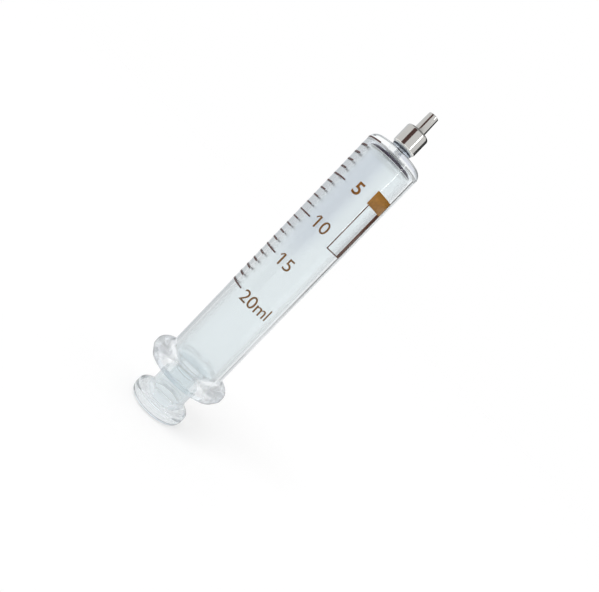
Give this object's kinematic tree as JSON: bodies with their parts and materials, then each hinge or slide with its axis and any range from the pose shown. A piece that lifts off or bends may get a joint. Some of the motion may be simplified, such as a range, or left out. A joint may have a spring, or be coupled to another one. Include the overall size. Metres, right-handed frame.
{
  "type": "glass syringe",
  "caption": "All-glass laboratory syringe: graduated barrel with finger flange, hollow ground plunger with thumb knob, and metal slip tip with a 6 % taper.",
  "frame": {"origin": "centre of the thumb knob's flat end, on the surface that the syringe stands on", "axes": "+Z along the bore towards the tip; X and Y across it"},
  "size_m": [0.0316, 0.0316, 0.1404],
  "materials": {
    "plunger_glass": "fine ground with polished ends",
    "barrel_glass": "polished",
    "nickel_plate": "polished",
    "cement": "matte",
    "scale_print": "fired enamel"
  },
  "bodies": {
    "plunger": {"plunger": "plunger_glass"},
    "barrel": {"barrel": "barrel_glass", "tip_cement": "cement", "metal_tip": "nickel_plate"}
  },
  "joints": [
    {"name": "barrel_slide", "type": "slide", "parent": "plunger", "child": "barrel", "axis": [0, 0, 1], "range_m": [0, 0.098]}
  ]
}
